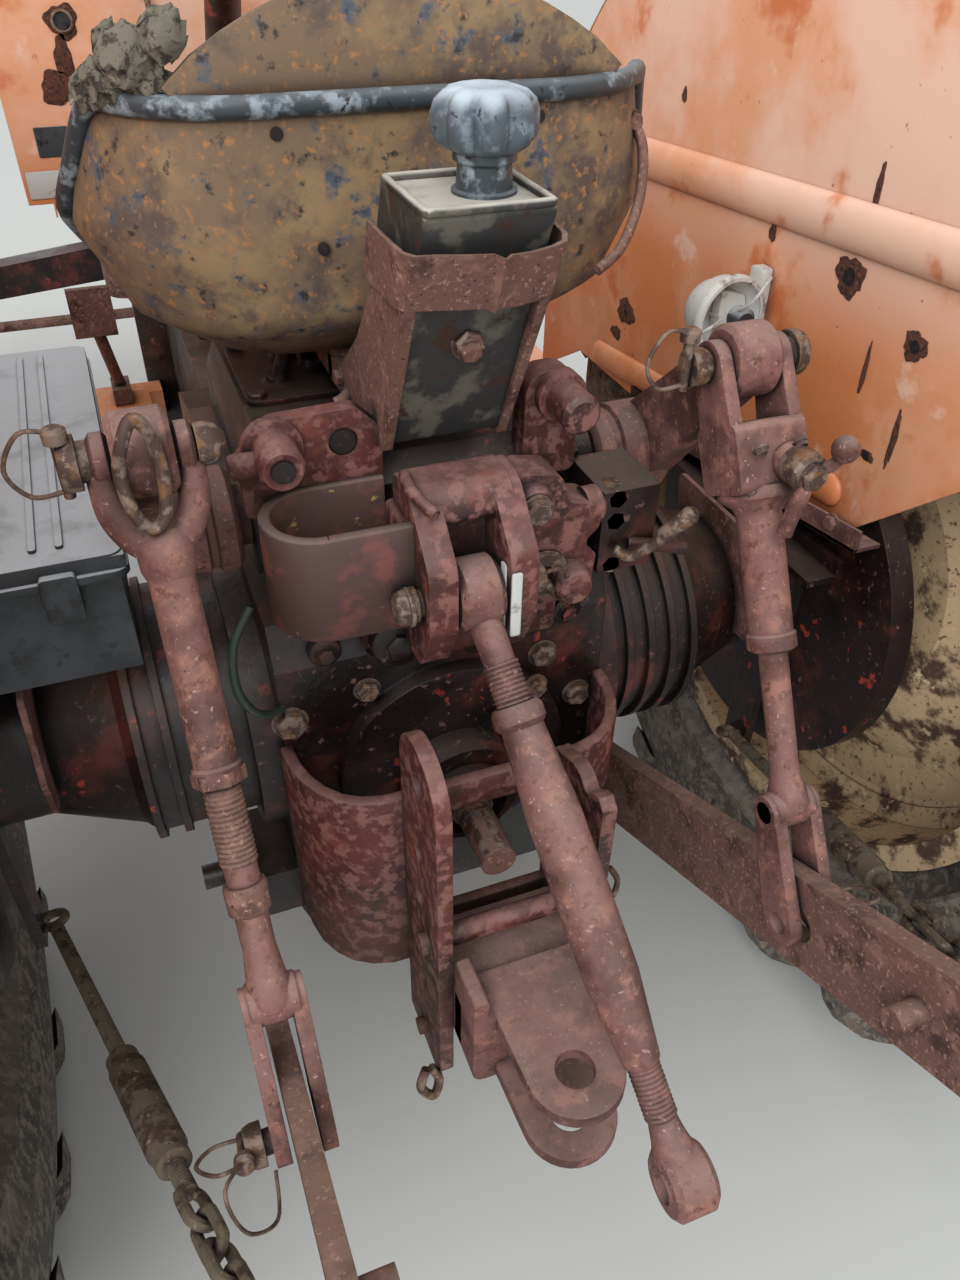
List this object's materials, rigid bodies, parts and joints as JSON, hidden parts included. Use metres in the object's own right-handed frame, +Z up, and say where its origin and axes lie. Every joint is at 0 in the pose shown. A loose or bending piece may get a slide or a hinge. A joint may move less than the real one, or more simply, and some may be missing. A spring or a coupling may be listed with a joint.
{
  "type": "farm tractor",
  "caption": "Two-wheel-drive farm tractor with narrow hood, bucket seat, big lugged rear tyres, steered front axle and a three-point rear linkage.",
  "frame": {"origin": "on the ground below the middle of the outline", "axes": "+X to the right of the driver, +Y forward, +Z up"},
  "size_m": [1.7386, 3.4448, 1.961],
  "materials": {
    "tyre": "dry weathered tread",
    "rim_cream": "cream paint with dark rust",
    "orange_paint": "faded orange paint with rust spots",
    "greasy_iron": "greasy dark casting over red paint",
    "red_iron": "rusty red paint on cast iron",
    "rusty_steel": "brown rust",
    "seat_steel": "ochre rust with traces of blue",
    "black_rubber": "matt",
    "black_plastic": "dusty",
    "blue_black_plastic": "worn",
    "lamp_grey": "pale grey",
    "lamp_glass": "dull reflector behind ribbed glass",
    "engine_grey": "oily red brown",
    "exhaust_rust": "burnt rust"
  },
  "bodies": {
    "chassis": {"axle_trumpets": "greasy_iron", "battery_box": "black_plastic", "bolster": "greasy_iron", "bumper": "orange_paint", "controls": "rusty_steel", "cowl": "orange_paint", "draft_spring": "red_iron", "drawbar_band": "red_iron", "engine": "engine_grey", "engine_fittings": "engine_grey", "exhaust": "exhaust_rust", "fender_braces": "greasy_iron", "fenders": "orange_paint", "front_axle": "greasy_iron", "gearbox": "greasy_iron", "grille": "orange_paint", "headlamps": "lamp_glass", "hitch_frame": "rusty_steel", "hitch_jaw": "red_iron", "hood": "orange_paint", "lift_cover": "greasy_iron", "link_brackets": "greasy_iron", "nose_sides": "orange_paint", "platforms": "orange_paint", "pto_guard": "greasy_iron", "radiator": "greasy_iron", "rear_housing": "greasy_iron", "rear_lamp": "lamp_grey", "remote_valve": "greasy_iron", "seat_box": "greasy_iron", "seat_frame": "rusty_steel", "seat_knob": "blue_black_plastic", "seat_pan": "seat_steel", "seat_trim": "black_rubber", "steering_column": "greasy_iron", "top_bracket": "red_iron"},
    "rear_wheel_right_body": {"rear_tyre_right": "tyre", "rear_wheel_right": "rim_cream"},
    "rear_wheel_left_body": {"rear_tyre_left": "tyre", "rear_wheel_left": "rim_cream"},
    "front_wheel_right_body": {"front_tyre_right": "tyre", "front_wheel_right": "rim_cream"},
    "front_wheel_left_body": {"front_tyre_left": "tyre", "front_wheel_left": "rim_cream"},
    "knuckle_right_body": {"knuckle_right": "rusty_steel"},
    "knuckle_left_body": {"knuckle_left": "rusty_steel"},
    "tie_rod_body": {"tie_rod": "rusty_steel"},
    "steering_wheel_body": {"steering_wheel": "blue_black_plastic"},
    "lift_arms_body": {"lift_arms": "rusty_steel"},
    "lift_rod_right_body": {"lift_rod_right": "rusty_steel"},
    "lift_rod_left_body": {"lift_rod_left": "rusty_steel"},
    "lower_link_right_body": {"lower_link_right": "rusty_steel", "check_chain_right": "rusty_steel"},
    "lower_link_left_body": {"lower_link_left": "rusty_steel", "check_chain_left": "rusty_steel"},
    "top_link_body": {"top_link": "rusty_steel"},
    "pto_shaft_body": {"pto_shaft": "rusty_steel"}
  },
  "joints": [
    {"name": "rear_wheel_right", "type": "hinge", "parent": "chassis", "child": "rear_wheel_right_body", "pos_m": [0.687, -0.8475, 0.68], "axis": [1, 0, 0], "continuous": true},
    {"name": "rear_wheel_left", "type": "hinge", "parent": "chassis", "child": "rear_wheel_left_body", "pos_m": [-0.687, -0.8475, 0.68], "axis": [1, 0, 0], "continuous": true},
    {"name": "kingpin_left", "type": "hinge", "parent": "chassis", "child": "knuckle_left_body", "pos_m": [-0.56, 1.2525, 0.395], "axis": [0, 0, 1], "range_deg": [-40, 40]},
    {"name": "kingpin_right", "type": "hinge", "parent": "chassis", "child": "knuckle_right_body", "pos_m": [0.56, 1.2525, 0.395], "axis": [0, 0, 1], "range_deg": [-40, 40]},
    {"name": "tie_rod_swivel", "type": "hinge", "parent": "knuckle_left_body", "child": "tie_rod_body", "pos_m": [-0.56, 1.1025, 0.402], "axis": [0, 0, 1], "range_deg": [-40, 40]},
    {"name": "steering_wheel_turn", "type": "hinge", "parent": "chassis", "child": "steering_wheel_body", "pos_m": [0, -0.2075, 1.345], "axis": [0, -0.5987, 0.801], "range_deg": [-480, 480]},
    {"name": "front_wheel_right", "type": "hinge", "parent": "knuckle_right_body", "child": "front_wheel_right_body", "pos_m": [0.69, 1.2525, 0.395], "axis": [1, 0, 0], "continuous": true},
    {"name": "front_wheel_left", "type": "hinge", "parent": "knuckle_left_body", "child": "front_wheel_left_body", "pos_m": [-0.69, 1.2525, 0.395], "axis": [1, 0, 0], "continuous": true},
    {"name": "lift_arms_raise", "type": "hinge", "parent": "chassis", "child": "lift_arms_body", "pos_m": [0, -0.9075, 0.925], "axis": [-1, 0, 0], "range_deg": [-60, 8]},
    {"name": "lift_rod_right_swing", "type": "hinge", "parent": "lift_arms_body", "child": "lift_rod_right_body", "pos_m": [0.235, -1.0495, 1.07], "axis": [-1, 0, 0], "range_deg": [-8, 58]},
    {"name": "lower_link_right_raise", "type": "hinge", "parent": "chassis", "child": "lower_link_right_body", "pos_m": [0.23, -0.9095, 0.465], "axis": [-1, 0, 0], "range_deg": [-30.5, 4.5]},
    {"name": "lift_rod_left_swing", "type": "hinge", "parent": "lift_arms_body", "child": "lift_rod_left_body", "pos_m": [-0.235, -1.0495, 1.07], "axis": [-1, 0, 0], "range_deg": [-8, 58]},
    {"name": "lower_link_left_raise", "type": "hinge", "parent": "chassis", "child": "lower_link_left_body", "pos_m": [-0.23, -0.9095, 0.465], "axis": [-1, 0, 0], "range_deg": [-30.5, 4.5]},
    {"name": "top_link_raise", "type": "hinge", "parent": "chassis", "child": "top_link_body", "pos_m": [-0.006, -1.0775, 0.918], "axis": [-1, 0, 0], "range_deg": [0, 95]},
    {"name": "pto_spin", "type": "hinge", "parent": "chassis", "child": "pto_shaft_body", "pos_m": [0, -1.0475, 0.642], "axis": [0, 1, 0], "continuous": true}
  ],
  "couplings": [
    {"joint": "kingpin_right", "follows": "kingpin_left", "ratio": 1},
    {"joint": "tie_rod_swivel", "follows": "kingpin_left", "ratio": -1},
    {"joint": "steering_wheel_turn", "follows": "kingpin_left", "ratio": 12},
    {"joint": "lift_rod_right_swing", "follows": "lift_arms_raise", "ratio": -0.945},
    {"joint": "lower_link_right_raise", "follows": "lift_arms_raise", "ratio": 0.49},
    {"joint": "lift_rod_left_swing", "follows": "lift_arms_raise", "ratio": -0.915},
    {"joint": "lower_link_left_raise", "follows": "lift_arms_raise", "ratio": 0.5}
  ]
}
